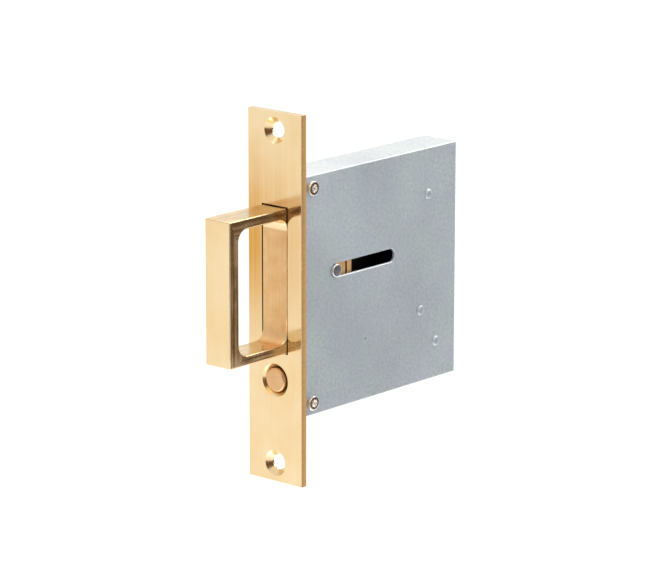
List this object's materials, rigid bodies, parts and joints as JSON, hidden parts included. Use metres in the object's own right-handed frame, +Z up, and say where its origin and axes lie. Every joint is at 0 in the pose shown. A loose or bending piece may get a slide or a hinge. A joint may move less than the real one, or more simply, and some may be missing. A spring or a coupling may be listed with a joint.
{
  "type": "pocket door pull",
  "caption": "Brass edge pull for a sliding pocket door: a sprung pull with a finger window slides out of a faceplate, with a release button and a flat steel case behind.",
  "frame": {"origin": "centre of the faceplate's back face, midway between its two screw holes", "axes": "+X across the door's thickness, +Y into the door, -Y out of its edge where the pull comes out, +Z up"},
  "size_m": [0.0254, 0.123, 0.1366],
  "materials": {
    "polished_brass": "polished and lacquered",
    "zinc_plated_steel": "bright zinc plate on rolled sheet",
    "nickel_plated_steel": "bright nickel plate",
    "spring_steel": "drawn wire",
    "bright_steel": "turned or stamped, bright"
  },
  "bodies": {
    "case": {"faceplate": "polished_brass", "case_tray": "zinc_plated_steel", "case_cover": "zinc_plated_steel", "front_rod_guide": "zinc_plated_steel", "rear_rod_guide": "zinc_plated_steel", "side_screws": "nickel_plated_steel", "cover_screws": "nickel_plated_steel", "pull_spring": "spring_steel", "button_spring": "spring_steel", "catch_spring": "spring_steel", "spring_post": "bright_steel", "catch_post": "bright_steel", "stop_post": "bright_steel", "spring_guide_rod": "bright_steel", "spring_washer": "bright_steel", "catch_spacers": "bright_steel"},
    "pull": {"pull_handle": "polished_brass", "cross_pin": "bright_steel"},
    "button": {"release_button": "polished_brass", "button_rod": "bright_steel"},
    "catch": {"catch_lever": "bright_steel"}
  },
  "joints": [
    {"name": "pull_slide", "type": "slide", "parent": "case", "child": "pull", "axis": [0, 1, 0], "range_m": [0, 0.0302], "stiffness_N_per_m": 90, "springref_m": -0.035, "deforming": ["pull_spring"]},
    {"name": "button_press", "type": "slide", "parent": "case", "child": "button", "axis": [0, 1, 0], "range_m": [0, 0.0015], "stiffness_N_per_m": 400, "springref_m": -0.004, "deforming": ["button_spring"]},
    {"name": "catch_pivot", "type": "hinge", "parent": "case", "child": "catch", "pos_m": [0, 0.0699, -0.0169], "axis": [1, 0, 0], "range_deg": [0, 6.5], "stiffness_Nm_per_rad": 0.05, "springref_deg": -11.46, "deforming": ["catch_spring"]}
  ],
  "couplings": [
    {"joint": "catch_pivot", "follows": "button_press", "rad_per_m": 74.627}
  ]
}
